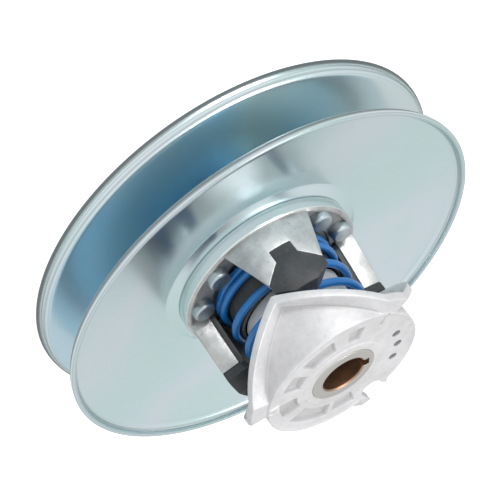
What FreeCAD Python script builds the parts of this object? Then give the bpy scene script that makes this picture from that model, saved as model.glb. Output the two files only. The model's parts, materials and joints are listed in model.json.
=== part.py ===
import FreeCAD, Part
import math
import os

import Sketcher

# Driven (secondary) pulley of a belt variator, millimetres, +Z along the shaft towards the cam nose.
# The lowest point is the rear edge of the fixed sheave's rim, the axis of the shaft is X = Y = 0,
# and the shaft keyway faces -X. The sheaves are closed on each other.

doc = FreeCAD.newDocument("driven_pulley")
V = FreeCAD.Vector
UP = V(0, 0, 1)

# ---------------------------------------------------------------- driving dimensions

DIMENSIONS = {
    "sheave_diameter": 254.0,
    "sheet": 2.5,                # thickness of the pressed steel sheaves
    "rim_shoulder": 7.0,         # outer radius of the curled rim
    "rim_lip": 0.6,              # straight end of the curl
    "groove_half_angle": 12.0,
    "rim_spacing": 42.3,         # rear rim edge to front rim edge, closed
    "cone_inner_radius": 61.7,   # where the belt cone ends
    "shaft_bore": 25.4,
    "keyway_width": 6.35,
    "keyway_reach": 16.2,        # axis to keyway floor
    "post_diameter": 39.0,
    "post_low": 7.0,
    "post_high": 107.1,
    "fixed_flange_radius": 40.0,
    "fixed_flange_height": 8.0,
    "fixed_rivet_circle": 31.0,
    "bead_radius": 55.4,         # inner end of the bead round the movable hub
    "hub_seat": 27.0,            # nose side of the movable disc under its hub
    "hub_radius": 54.8,
    "hub_floor": 34.0,           # rivet floor of the hub flange
    "hub_lip_top": 35.7,
    "spring_floor": 31.4,
    "spring_pocket_radius": 38.6,
    "barrel_radius": 25.8,
    "barrel_bore_radius": 21.5,
    "barrel_top": 62.0,
    "tower_inner_radius": 41.8,
    "tower_outer_radius": 52.8,
    "tower_top": 65.4,
    "tower_foot_angle": 30.1,    # half angle at the rivet floor
    "tower_tip_angle": 18.0,     # half angle at the top
    "shoe_stub_angle": 6.85,     # half angles of the shoe seen from the shaft
    "shoe_point_angle": 7.4,
    "shoe_stub_low": 49.1,
    "shoe_stub_high": 56.5,
    "shoe_edge_low": 65.7,
    "shoe_edge_high": 70.5,
    "shoe_tip": 76.1,
    "shoe_foot": 36.2,
    "lining_inner_radius": 38.7,
    "rivet_circle": 45.9,
    "rivet_spread": 15.5,        # degrees either side of the gap's middle
    "rivet_shank_radius": 3.5,
    "rivet_head_radius": 6.6,
    "rivet_head_height": 6.2,
    "bushing_length": 12.0,
    "running_clearance": 0.05,
    "cam_nose": 106.7,
    "cam_plate": 4.4,
    "cam_radius": 47.0,
    "cam_wall": 4.5,
    "cam_skirt_radius": 29.3,
    "cam_skirt_bore": 26.7,
    "cam_skirt_low": 56.0,
    "cam_hub_low": 89.0,
    "ramp_radius": 56.7,
    "ramp_flange": 5.1,          # thickness of the ramp flange along the axis
    "ramp_peak": 72.4,
    "ramp_lead": 31.4,           # rise per radian
    "ramp_offset_angle": 20.1,   # cam peak measured from the tower, closed
    "spring_mean_radius": 34.7,
    "spring_wire_radius": 2.3,
    "spring_closed_pitch": 4.7,  # the end turns lie on their neighbours
    "sleeve_inner_radius": 30.2,
    "sleeve_outer_radius": 31.6,
    "sleeve_top": 56.0,
}

sheet = doc.addObject("Spreadsheet::Sheet", "Sizes")
sheet.Label = "driving_dimensions"
for row, (alias, number) in enumerate(DIMENSIONS.items(), start=1):
    sheet.set(f"A{row}", alias)
    sheet.set(f"B{row}", str(number))
    sheet.setAlias(f"B{row}", alias)
doc.recompute()


class Size:
    """A length or angle that knows its number now and its formula in the spreadsheet."""

    def __init__(self, number, formula):
        self.number = float(number)
        self.formula = formula

    def _join(self, other, sign, number):
        return Size(number, f"({self.formula} {sign} {as_size(other).formula})")

    def __add__(self, other):
        return self._join(other, "+", self.number + as_size(other).number)

    def __sub__(self, other):
        return self._join(other, "-", self.number - as_size(other).number)

    def __mul__(self, other):
        return self._join(other, "*", self.number * as_size(other).number)

    def __truediv__(self, other):
        return self._join(other, "/", self.number / as_size(other).number)

    def __neg__(self):
        return Size(-self.number, f"(0 - {self.formula})")

    def __radd__(self, other):
        return as_size(other) + self

    def __rmul__(self, other):
        return as_size(other) * self

    def __rsub__(self, other):
        return as_size(other) - self


def as_size(thing):
    return thing if isinstance(thing, Size) else Size(thing, repr(float(thing)))


def cell(alias):
    return Size(DIMENSIONS[alias], f"Sizes.{alias}")


def sine(angle):
    return Size(math.sin(math.radians(angle.number)), f"sin({angle.formula} * 1 deg)")


def cosine(angle):
    return Size(math.cos(math.radians(angle.number)), f"cos({angle.formula} * 1 deg)")


# ---------------------------------------------------------------- building helpers

finished = []


def finish(piece, name):
    """Give a finished sub-part its own name."""
    piece.Label = name
    finished.append(piece)
    return piece


def origin_plane(body, role):
    return next(f for f in body.Origin.OriginFeatures if f.Role == role)


def draw_profile(body, role, outline):
    """A closed sketch whose corners, and the radii of whose arcs, are bound to the sheet.

    outline lists corners (x, y), and a third item gives the arc that leads to the next corner:
    (centre x, centre y, radius, turns_left).
    """
    sketch = body.newObject("Sketcher::SketchObject", "Profile")
    sketch.AttachmentSupport = (origin_plane(body, role), [""])
    sketch.MapMode = "FlatFace"
    count = len(outline)
    corners = [(as_size(c[0]), as_size(c[1])) for c in outline]
    ends = []
    for i, corner in enumerate(outline):
        x0, y0 = (s.number for s in corners[i])
        x1, y1 = (s.number for s in corners[(i + 1) % count])
        if len(corner) == 3:
            cx, cy, radius, left = corner[2]
            cx, cy = as_size(cx).number, as_size(cy).number
            circle = Part.Circle(V(cx, cy, 0), UP, as_size(radius).number)
            first = math.atan2(y0 - cy, x0 - cx)
            last = math.atan2(y1 - cy, x1 - cx)
            if left:
                arc = Part.ArcOfCircle(circle, first, last + (2 * math.pi if last < first else 0))
                start, stop = 1, 2
            else:
                arc = Part.ArcOfCircle(circle, last, first + (2 * math.pi if first < last else 0))
                start, stop = 2, 1
            edge = sketch.addGeometry(arc, False)
            bound = sketch.addConstraint(Sketcher.Constraint("Radius", edge, as_size(radius).number))
            sketch.setExpression(f"Constraints[{bound}]", as_size(radius).formula)
        else:
            edge = sketch.addGeometry(Part.LineSegment(V(x0, y0, 0), V(x1, y1, 0)), False)
            start, stop = 1, 2
        ends.append((edge, start, stop))
    for i, (edge, start, stop) in enumerate(ends):
        following, follow_start, _ = ends[(i + 1) % count]
        sketch.addConstraint(Sketcher.Constraint("Coincident", edge, stop, following, follow_start))
    for (edge, start, stop), place in zip(ends, corners):
        for kind, axis_size in zip(("DistanceX", "DistanceY"), place):
            bound = sketch.addConstraint(
                Sketcher.Constraint(kind, -1, 1, edge, start, axis_size.number))
            sketch.setExpression(f"Constraints[{bound}]", axis_size.formula)
    return sketch


def turned(name, outline):
    """A body turned about Z from a closed outline of (radius, height) corners."""
    body = doc.addObject("PartDesign::Body", name)
    sketch = draw_profile(body, "XZ_Plane", outline)
    turn = body.newObject("PartDesign::Revolution", "Turn")
    turn.Profile = sketch
    turn.ReferenceAxis = (sketch, ["V_Axis"])
    turn.Angle = 360
    body.Tip = turn
    doc.recompute()
    return body


def ring(name, inner, outer, low, high):
    return turned(name, [(inner, low), (outer, low), (outer, high), (inner, high)])


def bound_cylinder(radius, low, height, x=0.0, y=0.0):
    piece = doc.addObject("Part::Cylinder", "Round")
    piece.setExpression("Radius", as_size(radius).formula)
    piece.setExpression("Height", as_size(height).formula)
    piece.setExpression("Placement.Base.x", as_size(x).formula)
    piece.setExpression("Placement.Base.y", as_size(y).formula)
    piece.setExpression("Placement.Base.z", as_size(low).formula)
    return piece


def boolean(kind, base, tools):
    """Fuse, cut or intersect base with the tools, in one object."""
    tools = list(tools)
    if kind == "Cut" and len(tools) > 1:
        tools = [boolean("Fuse", tools[0], tools[1:])]
    if kind == "Fuse":
        piece = doc.addObject("Part::MultiFuse", "Fused")
        piece.Shapes = [base] + tools
    else:
        piece = doc.addObject(f"Part::{kind}", kind)
        piece.Base = base
        piece.Tool = tools[0]
    return piece


def sector(inner, outer, low, high, middle, half_angle):
    """A ring sector as a plain feature, angles in degrees."""
    lower = [polar(r, middle + s * half_angle, low) for r, s in
             ((inner, -1), (outer, -1), (outer, 1), (inner, 1))]
    outer_arc = Part.Arc(lower[1], polar(outer, middle, low), lower[2]).toShape()
    inner_arc = Part.Arc(lower[3], polar(inner, middle, low), lower[0]).toShape()
    edges = [Part.makeLine(lower[0], lower[1]), outer_arc, Part.makeLine(lower[2], lower[3]), inner_arc]
    return Part.Face(Part.Wire(edges)).extrude(V(0, 0, high - low))


def polar(radius, angle, height):
    spot = math.radians(angle)
    return V(radius * math.cos(spot), radius * math.sin(spot), height)


def feature(name, shape):
    piece = doc.addObject("Part::Feature", name)
    piece.Shape = shape
    return piece


# ---------------------------------------------------------------- the two pressed sheaves

rim_radius = cell("sheave_diameter") / 2
sheet_metal = cell("sheet")
shoulder = cell("rim_shoulder")
lip = cell("rim_lip")
flare = cell("groove_half_angle")
cone_end = cell("cone_inner_radius")
slope = sine(flare) / cosine(flare)
slant = sheet_metal / cosine(flare)              # the sheet measured along the axis on the cone

arc_centre = rim_radius - shoulder
arc_end_radius = arc_centre + shoulder * sine(flare)
arc_end_height = lip + shoulder * cosine(flare)
inner_bend = shoulder - sheet_metal
inner_end_radius = arc_centre + inner_bend * sine(flare)
inner_end_height = lip + inner_bend * cosine(flare)
cone_rise = (arc_end_radius - cone_end) * slope
face_height = arc_end_height + cone_rise         # belt face at the cone's inner end
back_height = face_height - slant


def rim_outline(height_of, turns_left):
    """The curled rim and the belt cone, from the cone's inner end out and back again."""
    return [
        (cone_end, height_of(back_height)),
        (inner_end_radius, height_of(inner_end_height),
         (arc_centre, height_of(lip), inner_bend, not turns_left)),
        (rim_radius - sheet_metal, height_of(lip)),
        (rim_radius - sheet_metal, height_of(as_size(0))),
        (rim_radius, height_of(as_size(0))),
        (rim_radius, height_of(lip), (arc_centre, height_of(lip), shoulder, turns_left)),
        (arc_end_radius, height_of(arc_end_height)),
        (cone_end, height_of(face_height)),
    ]


post_radius = cell("post_diameter") / 2
flat_low = face_height - sheet_metal


def from_rear(height):
    return height


def from_front(height):
    return cell("rim_spacing") - height


fixed_disc_blank = turned("FixedDisc", rim_outline(from_rear, True) + [
    (cone_end - 1.5, face_height),
    (post_radius + 0.2, face_height),
    (post_radius + 0.2, flat_low),
    (cone_end - 2.0, flat_low),
])

seat = cell("hub_seat")
barrel_radius = cell("barrel_radius")
movable_disc_blank = turned("MovableDisc", rim_outline(from_front, False) + [
    (cell("bead_radius"), seat - sheet_metal),
    (barrel_radius + 0.1, seat - sheet_metal),
    (barrel_radius + 0.1, seat),
    (cell("bead_radius"), seat),
])

# ---------------------------------------------------------------- post, fixed hub, washers

bore_radius = cell("shaft_bore") / 2
post_low = cell("post_low")
post_high = cell("post_high")
post_blank = turned("PostBlank", [
    (bore_radius + 0.8, post_low), (post_radius - 1.0, post_low), (post_radius, post_low + 1.0),
    (post_radius, post_high - 0.8), (post_radius - 0.5, post_high), (bore_radius + 0.8, post_high),
    (bore_radius, post_high - 0.8), (bore_radius, post_low + 0.8),
])


def bound_box(length, width, height, x, y, z):
    piece = doc.addObject("Part::Box", "Block")
    for prop, size in zip(("Length", "Width", "Height"), (length, width, height)):
        piece.setExpression(prop, as_size(size).formula)
    for axis, size in zip("xyz", (x, y, z)):
        piece.setExpression(f"Placement.Base.{axis}", as_size(size).formula)
    return piece


keyway_width = cell("keyway_width")
keyway = bound_box(cell("keyway_reach"), keyway_width, post_high - post_low + 2,
                   -cell("keyway_reach"), -keyway_width / 2, post_low - 1)

key_side = 6.0
key_depth = 2.0                    # into the post
key_low = 90.5
key_high = 104.5
key_seat = bound_box(key_depth + 1, key_side, key_high - key_low,
                     post_radius - key_depth, -key_side / 2, key_low)
post = boolean("Cut", post_blank, [keyway, key_seat])
finish(post, "post")
cam_key = bound_box(key_side - 1, key_side, key_high - key_low,
                    post_radius - key_depth, -key_side / 2, key_low)
finish(cam_key, "cam_key")

flange_low = flat_low - cell("fixed_flange_height")
fixed_flange_blank = turned("FixedFlange", [
    (post_radius, flange_low - 1.0), (post_radius + 6, flange_low - 1.0), (post_radius + 8, flange_low),
    (cell("fixed_flange_radius") - 1, flange_low), (cell("fixed_flange_radius"), flange_low + 1),
    (cell("fixed_flange_radius"), flat_low), (post_radius, flat_low),
])


def rivet_shape(shank, head_radius, head_height, head_low, tail_high, tail_radius, tail_height):
    """A round headed rivet on the Z axis: shank, a domed head on top and a flat set tail below."""
    edge = head_height * 0.62
    profile = [
        V(0, 0, tail_high - tail_height), V(tail_radius - tail_height * 0.6, 0, tail_high - tail_height),
        V(tail_radius, 0, tail_high), V(shank, 0, tail_high), V(shank, 0, head_low),
        V(head_radius, 0, head_low), V(head_radius, 0, head_low + edge),
    ]
    crown = Part.Arc(V(head_radius, 0, head_low + edge),
                     V(head_radius * 0.935, 0, head_low + head_height * 0.885),
                     V(head_radius * 0.78, 0, head_low + head_height)).toShape()
    edges = [Part.makeLine(a, b) for a, b in zip(profile, profile[1:])]
    edges += [crown, Part.makeLine(V(head_radius * 0.78, 0, head_low + head_height),
                                   V(0, 0, head_low + head_height)),
              Part.makeLine(V(0, 0, head_low + head_height), profile[0])]
    return Part.Face(Part.Wire(edges)).revolve(V(0, 0, 0), UP, 360)


def set_round(shape, radius, angles):
    """Copies of a shape on the Z axis moved out to a circle."""
    copies = []
    for angle in angles:
        one = shape.copy()
        one.translate(polar(radius, angle, 0))
        copies.append(one)
    return Part.makeCompound(copies)


TOWER_ANGLES = (-87.1, 32.9, 152.9)
GAP_ANGLES = tuple(angle + 60.0 for angle in TOWER_ANGLES)
fixed_rivet_angles = [30.0 + 60.0 * k for k in range(6)]
fixed_rivet_circle = cell("fixed_rivet_circle").number
fixed_rivet = rivet_shape(3.2, 5.4, 2.0, face_height.number, flange_low.number, 5.0, 1.6)
finish(feature("FixedRivets", set_round(fixed_rivet, fixed_rivet_circle, fixed_rivet_angles)),
       "fixed_sheave_rivets")


def drill(base, radius, circle, angles, low, high):
    """Cut a ring of round holes through a piece, each bound to the sheet."""
    holes = [bound_cylinder(radius, low, high - low,
                            circle * math.cos(math.radians(a)), circle * math.sin(math.radians(a)))
             for a in angles]
    return boolean("Cut", base, holes)


fixed_flange = drill(fixed_flange_blank, 3.2, cell("fixed_rivet_circle"), fixed_rivet_angles,
                     flange_low - 2, flat_low + 1)
finish(fixed_flange, "fixed_hub_flange")
fixed_disc = drill(fixed_disc_blank, 3.2, cell("fixed_rivet_circle"), fixed_rivet_angles,
                   flat_low - 1, face_height + 1)
finish(fixed_disc, "fixed_sheave_disc")

stop_high = seat - sheet_metal - 0.3
finish(ring("StopWasher", post_radius + 0.1, post_radius + 4.6, face_height, stop_high),
       "closing_stop_washer")

# ---------------------------------------------------------------- movable hub with its three towers

hub_radius = cell("hub_radius")
hub_floor = cell("hub_floor")
lip_top = cell("hub_lip_top")
spring_floor = cell("spring_floor")
pocket_radius = cell("spring_pocket_radius")
barrel_bore = cell("barrel_bore_radius")
barrel_top = cell("barrel_top")
hub_blank = turned("HubBlank", [
    (barrel_bore, seat - sheet_metal), (barrel_radius, seat - sheet_metal), (barrel_radius, seat),
    (hub_radius - 0.8, seat), (hub_radius, seat + 0.8), (hub_radius, hub_floor + 0.4),
    (hub_radius - 1.9, lip_top), (hub_radius - 3.3, lip_top), (hub_radius - 3.9, hub_floor),
    (pocket_radius, hub_floor), (pocket_radius, spring_floor), (barrel_radius, spring_floor),
    (barrel_radius, barrel_top - 1), (barrel_radius - 1, barrel_top), (barrel_bore + 0.6, barrel_top),
    (barrel_bore, barrel_top - 0.6),
])

tower_inner = cell("tower_inner_radius").number
tower_outer = cell("tower_outer_radius").number
tower_top = cell("tower_top").number
tower_ring = Part.makeCylinder(tower_outer, tower_top - seat.number - 2, V(0, 0, seat.number + 2)).cut(
    Part.makeCylinder(tower_inner, tower_top, V(0, 0, 0)))


def tower_wedge(angle):
    """A block that narrows upwards, its sides on radial lines."""
    wires = []
    for height, half in ((hub_floor.number, cell("tower_foot_angle").number),
                         (tower_top, cell("tower_tip_angle").number)):
        loop = [polar(r, angle + s * half, height) for r, s in
                ((tower_inner - 4, -1), (tower_outer + 9, -1), (tower_outer + 9, 1), (tower_inner - 4, 1))]
        wires.append(Part.makePolygon(loop + loop[:1]))
    return Part.makeLoft(wires, True, True)


def shoe_outline(low, clearance):
    """Corners of the arrow shaped shoe, (degrees, height), with a clearance in its notch."""
    slack = math.degrees(clearance / tower_outer)
    stub = cell("shoe_stub_angle").number + slack
    wide = cell("tower_tip_angle").number + slack
    right = [
        (stub, low - clearance),
        (stub, cell("shoe_stub_high").number),
        (wide, cell("shoe_edge_low").number - clearance),
        (wide, cell("shoe_edge_high").number),
        (cell("shoe_point_angle").number, cell("shoe_tip").number),
    ]
    return right + [(-x, z) for x, z in reversed(right)]


def radial_prism(outline, inner, outer, angle):
    """A solid between two distances from the shaft whose sides are radial planes.

    The outline lists (degrees from the middle, height) corners.
    """
    spot = math.radians(angle)
    outwards = V(math.cos(spot), math.sin(spot), 0)
    across = V(-math.sin(spot), math.cos(spot), 0)
    wires = []
    for reach in (inner, outer):
        loop = [outwards * reach + across * reach * math.tan(math.radians(a)) + V(0, 0, z)
                for a, z in outline]
        wires.append(Part.makePolygon(loop + loop[:1]))
    return Part.makeLoft(wires, True, True)


towers = []
for angle in TOWER_ANGLES:
    notch = radial_prism(shoe_outline(cell("shoe_stub_low").number, 0.05), tower_inner - 4,
                         tower_outer + 4, angle)
    towers.append(tower_ring.common(tower_wedge(angle)).cut(notch))
towers_piece = feature("Towers", Part.makeCompound(towers))

rivet_circle = cell("rivet_circle")
rivet_angles = [gap + side * cell("rivet_spread").number for gap in GAP_ANGLES for side in (-1, 1)]
shank_radius = cell("rivet_shank_radius")
hub_drilled = drill(hub_blank, shank_radius, rivet_circle, rivet_angles, seat - 1, hub_floor + 1)
finish(boolean("Fuse", hub_drilled, [towers_piece]), "movable_hub")

movable_disc = drill(movable_disc_blank, shank_radius, rivet_circle, rivet_angles,
                     seat - sheet_metal - 1, seat + 1)
finish(movable_disc, "movable_sheave_disc")
hub_rivet = rivet_shape(shank_radius.number, cell("rivet_head_radius").number,
                        cell("rivet_head_height").number, hub_floor.number,
                        seat.number - sheet_metal.number, 5.4, 1.2)
finish(feature("HubRivets", set_round(hub_rivet, rivet_circle.number, rivet_angles)),
       "movable_hub_rivets")

# ---------------------------------------------------------------- ramp shoes

lining_inner = cell("lining_inner_radius").number
shoe_gap = 0.1


def shoe_shape(angle):
    """One plastic shoe: the arrow in the tower's notch, joined to a lining behind the tower."""
    hollow = Part.makeCylinder(lining_inner, 80, V(0, 0, 20))
    front = radial_prism(shoe_outline(cell("shoe_stub_low").number, 0.0), lining_inner - 6,
                         tower_outer + 4, angle)
    front = front.common(Part.makeCylinder(tower_outer, 60, V(0, 0, 30))).cut(hollow)
    foot = cell("tower_foot_angle").number - 1.5
    wide = cell("tower_tip_angle").number
    half = [(foot, cell("shoe_foot").number), (wide, cell("shoe_edge_low").number),
            (wide, cell("shoe_edge_high").number),
            (cell("shoe_point_angle").number, cell("shoe_tip").number)]
    outline = half + [(-x, z) for x, z in reversed(half)]
    back = radial_prism(outline, lining_inner - 12, tower_outer, angle)
    back = back.common(Part.makeCylinder(tower_inner - shoe_gap, 80, V(0, 0, 20))).cut(hollow)
    return front.fuse(back).removeSplitter()


for number, angle in enumerate(TOWER_ANGLES, start=1):
    finish(feature(f"Shoe{number}", shoe_shape(angle)), f"ramp_shoe_{number}")

# ---------------------------------------------------------------- bushings, seal, sleeve, spring seat

clear = cell("running_clearance")
bushing_length = cell("bushing_length")
rear_bushing_low = seat + 0.5
front_bushing_high = barrel_top - 3.2
finish(ring("RearBushing", post_radius + clear, barrel_bore, rear_bushing_low,
            rear_bushing_low + bushing_length), "hub_bushing_rear")
finish(ring("FrontBushing", post_radius + clear, barrel_bore, front_bushing_high - bushing_length,
            front_bushing_high), "hub_bushing_front")
finish(ring("RearSeal", post_radius + 0.1, barrel_bore, seat - sheet_metal + 0.4,
            rear_bushing_low - 0.2), "hub_seal_rear")
finish(ring("FrontSeal", post_radius + 0.1, barrel_bore, front_bushing_high + 0.2,
            barrel_top - 0.9), "hub_seal_front")

sleeve_inner = cell("sleeve_inner_radius")
sleeve_outer = cell("sleeve_outer_radius")
washer_high = spring_floor + 1.1
finish(ring("SeatWasher", barrel_radius + 1.2, pocket_radius - 0.5, spring_floor + 0.3, washer_high),
       "spring_seat_washer")
finish(turned("Sleeve", [
    (sleeve_inner, washer_high), (sleeve_outer, washer_high),
    (sleeve_outer, cell("sleeve_top") - 0.6), (sleeve_outer - 0.6, cell("sleeve_top")),
    (sleeve_inner, cell("sleeve_top")),
]), "spring_guide_sleeve")

# ---------------------------------------------------------------- torque cam

cam_nose = cell("cam_nose")
plate_low = cam_nose - cell("cam_plate")
skirt_radius = cell("cam_skirt_radius")
skirt_bore = cell("cam_skirt_bore")
skirt_low = cell("cam_skirt_low")
cam_hub_low = cell("cam_hub_low")
cam_radius = cell("cam_radius")
cam_blank = turned("CamBlank", [
    (post_radius, cam_hub_low), (skirt_bore, cam_hub_low), (skirt_bore, skirt_low),
    (skirt_radius - 0.5, skirt_low), (skirt_radius, skirt_low + 0.5), (skirt_radius, plate_low - 2),
    (skirt_radius + 2, plate_low), (cam_radius - 1, plate_low), (cam_radius, plate_low + 1),
    (cam_radius, cam_nose - 0.8), (cam_radius - 0.8, cam_nose), (post_radius, cam_nose),
])

wall_outer = cam_radius.number
wall_inner = wall_outer - cell("cam_wall").number
ramp_radius = cell("ramp_radius").number
ramp_flange = cell("ramp_flange").number
ramp_peak = cell("ramp_peak").number
ramp_lead = cell("ramp_lead").number
nose = cam_nose.number
web_low = 100.6                    # floor of the valley between two lobes
ramp_span = math.degrees((web_low - ramp_peak) / ramp_lead)
LOBE_ANGLES = tuple(angle + cell("ramp_offset_angle").number for angle in TOWER_ANGLES)
RAMP_STEPS = 12


def ramp_section(angle, turn):
    """The L shaped wall and flange of a lobe, cut at an angle away from its peak."""
    low = ramp_peak + ramp_lead * math.radians(abs(turn))
    top = min(low + ramp_flange, nose - 0.5)
    corners = [(wall_inner, low), (ramp_radius, low), (ramp_radius, top), (wall_outer, top),
               (wall_outer, nose - 0.4), (wall_inner, nose - 0.4)]
    loop = [polar(r, angle + turn, z) for r, z in corners]
    return Part.makePolygon(loop + loop[:1])


lobes = []
for lobe_angle in LOBE_ANGLES:
    for side in (-1, 1):
        turns = [side * ramp_span * step / RAMP_STEPS for step in range(RAMP_STEPS + 1)]
        lobes.append(Part.makeLoft([ramp_section(lobe_angle, turn) for turn in turns], True, True))
    lobes.append(sector(wall_inner, ramp_radius, web_low, nose - 0.5, lobe_angle + 60.0,
                        60.0 - ramp_span + 0.2))
lobe_ring = lobes[0].fuse(lobes[1:])

notch_angle = 117.2
notch_radius = 6.4
notch_circle = 43.0
notch = Part.makeCylinder(notch_radius, 14, V(notch_circle, 0, nose - 10))
notch = notch.fuse(Part.makeBox(20, 2 * notch_radius, 14, V(notch_circle, -notch_radius, nose - 10)))
notch.rotate(V(0, 0, 0), UP, notch_angle)

pocket_inner = 28.6
pocket_outer = 39.4
pocket_floor = nose - 3.0
POCKETS = ((-102.3, 7.0), (-66.3, 15.0), (-29.8, 10.5), (7.2, 12.0), (52.7, 21.0), (90.7, 11.0))
pockets = [sector(pocket_inner, pocket_outer, pocket_floor, nose + 1, middle, half)
           for middle, half in POCKETS]

spring_hole_circle = 35.4
SPRING_HOLES = (157.7, 177.7, 197.2)
spring_holes = [Part.makeCylinder(1.9, 12, polar(spring_hole_circle, angle, nose - 8))
                for angle in SPRING_HOLES]
key_slot = Part.makeBox(key_side - 1 + 0.1, key_side, key_high - key_low + 3,
                        V(post_radius.number - key_depth, -key_side / 2, key_low - 3))
cam_rough = boolean("Fuse", cam_blank, [feature("Lobes", lobe_ring)])
cam_tools = [feature("CamTool", shape) for shape in [notch, key_slot] + pockets + spring_holes]
finish(boolean("Cut", cam_rough, cam_tools), "torque_cam")

# ---------------------------------------------------------------- spring

wire = cell("spring_wire_radius").number
spring_radius = cell("spring_mean_radius").number
closed_pitch = cell("spring_closed_pitch").number
spring_low = washer_high.number + wire + 0.1
spring_high = plate_low.number - wire - 0.1
SPRING_TURNS = 6.25
SPRING_START = 60.0                # the lower end of the wire, degrees round the shaft
LOW_CLOSED, HIGH_CLOSED = 1.25, 1.0
open_low = spring_low + closed_pitch + 0.5
open_pitch = (spring_high - closed_pitch - open_low) / (SPRING_TURNS - LOW_CLOSED - HIGH_CLOSED)


def spring_height(turn):
    """Height of the wire: closed turns at each end and an even pitch between."""
    if turn < 1:
        return spring_low + closed_pitch * turn
    if turn < LOW_CLOSED:
        return spring_low + closed_pitch + 0.5 * (turn - 1) / (LOW_CLOSED - 1)
    if turn > SPRING_TURNS - HIGH_CLOSED:
        return spring_high - closed_pitch * (SPRING_TURNS - turn)
    return open_low + open_pitch * (turn - LOW_CLOSED)


def spring_point(turn):
    near = [spring_height(min(max(turn + shift, 0.0), SPRING_TURNS)) for shift in (-0.1, 0.0, 0.1)]
    return polar(spring_radius, SPRING_START - 360.0 * turn, sum(near) / 3)


SPRING_STEPS = 24
line = Part.BSplineCurve()
line.interpolate([spring_point(k / SPRING_STEPS) for k in range(int(SPRING_TURNS * SPRING_STEPS) + 1)])
start = line.value(line.FirstParameter)
heading = line.tangent(line.FirstParameter)[0]
section = Part.Wire(Part.Circle(start, heading, wire).toShape())
finish(feature("Spring", Part.Wire(line.toShape()).makePipeShell([section], True, True)), "spring")

# ---------------------------------------------------------------- checks and files

doc.recompute()
for thing in doc.Objects:
    faults = [word for word in thing.State if word in ("Invalid", "Error")]
    if faults:
        raise SystemExit(f"{thing.Label}: {faults}")

os.makedirs("parts", exist_ok=True)
for piece in finished:
    shape = piece.Shape
    if shape.isNull() or not shape.isValid():
        raise SystemExit(f"{piece.Label}: shape is not valid")
    shape.exportStep(f"parts/{piece.Label}.step")
    box = shape.BoundBox
    print(f"{piece.Label:24s} solids {len(shape.Solids)} volume {shape.Volume / 1000:8.2f} cm3 "
          f"z {box.ZMin:7.2f} .. {box.ZMax:7.2f} r {box.XMax:7.2f}")
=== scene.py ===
import json
import math

import bmesh
import bpy
import numpy as np
from mathutils import Matrix, Vector


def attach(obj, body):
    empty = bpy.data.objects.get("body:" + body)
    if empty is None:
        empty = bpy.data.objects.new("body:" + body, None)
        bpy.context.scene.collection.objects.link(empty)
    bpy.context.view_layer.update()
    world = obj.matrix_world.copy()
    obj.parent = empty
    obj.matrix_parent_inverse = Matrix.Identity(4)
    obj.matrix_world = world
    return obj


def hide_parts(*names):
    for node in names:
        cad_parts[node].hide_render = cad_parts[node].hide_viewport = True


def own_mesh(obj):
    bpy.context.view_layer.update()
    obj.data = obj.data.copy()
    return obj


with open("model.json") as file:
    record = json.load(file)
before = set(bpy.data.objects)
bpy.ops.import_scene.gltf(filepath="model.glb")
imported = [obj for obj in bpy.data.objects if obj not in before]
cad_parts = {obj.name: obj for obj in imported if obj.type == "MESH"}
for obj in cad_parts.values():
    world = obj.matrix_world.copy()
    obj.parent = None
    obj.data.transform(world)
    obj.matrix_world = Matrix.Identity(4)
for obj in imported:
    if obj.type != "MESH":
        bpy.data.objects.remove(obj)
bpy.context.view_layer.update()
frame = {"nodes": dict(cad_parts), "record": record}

MM = 0.001
FIXED, MOVABLE = "fixed_side", "movable_side"

# ---------------------------------------------------------------- sizes, millimetres and degrees

SHEAVE_RADIUS = 127.0
SHEET = 2.5
SHOULDER = 7.0
LIP = 0.6
FLARE = math.radians(12.0)
RIM_SPACING = 42.3
CONE_END = 61.7
POST_RADIUS = 19.5
POST_LOW, POST_HIGH = 7.0, 107.1
BORE_RADIUS = 12.7
KEYWAY_HALF, KEYWAY_REACH = 3.175, 16.2
HUB_SEAT, HUB_FLOOR, SPRING_FLOOR = 27.0, 34.0, 31.4
BARREL_RADIUS, BARREL_BORE, BARREL_TOP = 25.8, 21.5, 62.0
TOWER_ANGLES = (-87.1, 32.9, 152.9)
TOWER_INNER, TOWER_OUTER, TOWER_TOP = 41.8, 52.8, 65.4
LOBE_TURN = 20.1


# ---------------------------------------------------------------- mesh helpers

def new_object(name, bm, body, replaces=(), sharp=32.0):
    """A finished object from a bmesh given in millimetres, riding on a body."""
    bmesh.ops.remove_doubles(bm, verts=bm.verts, dist=0.002)
    bmesh.ops.recalc_face_normals(bm, faces=bm.faces)
    mesh = bpy.data.meshes.new(name)
    bm.to_mesh(mesh)
    bm.free()
    mesh.transform(Matrix.Scale(MM, 4))
    mesh.shade_smooth()
    mesh.set_sharp_from_angle(angle=math.radians(sharp))
    piece = bpy.data.objects.new(name, mesh)
    bpy.context.scene.collection.objects.link(piece)
    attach(piece, body)
    if replaces:
        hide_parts(*replaces)
    return piece


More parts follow.
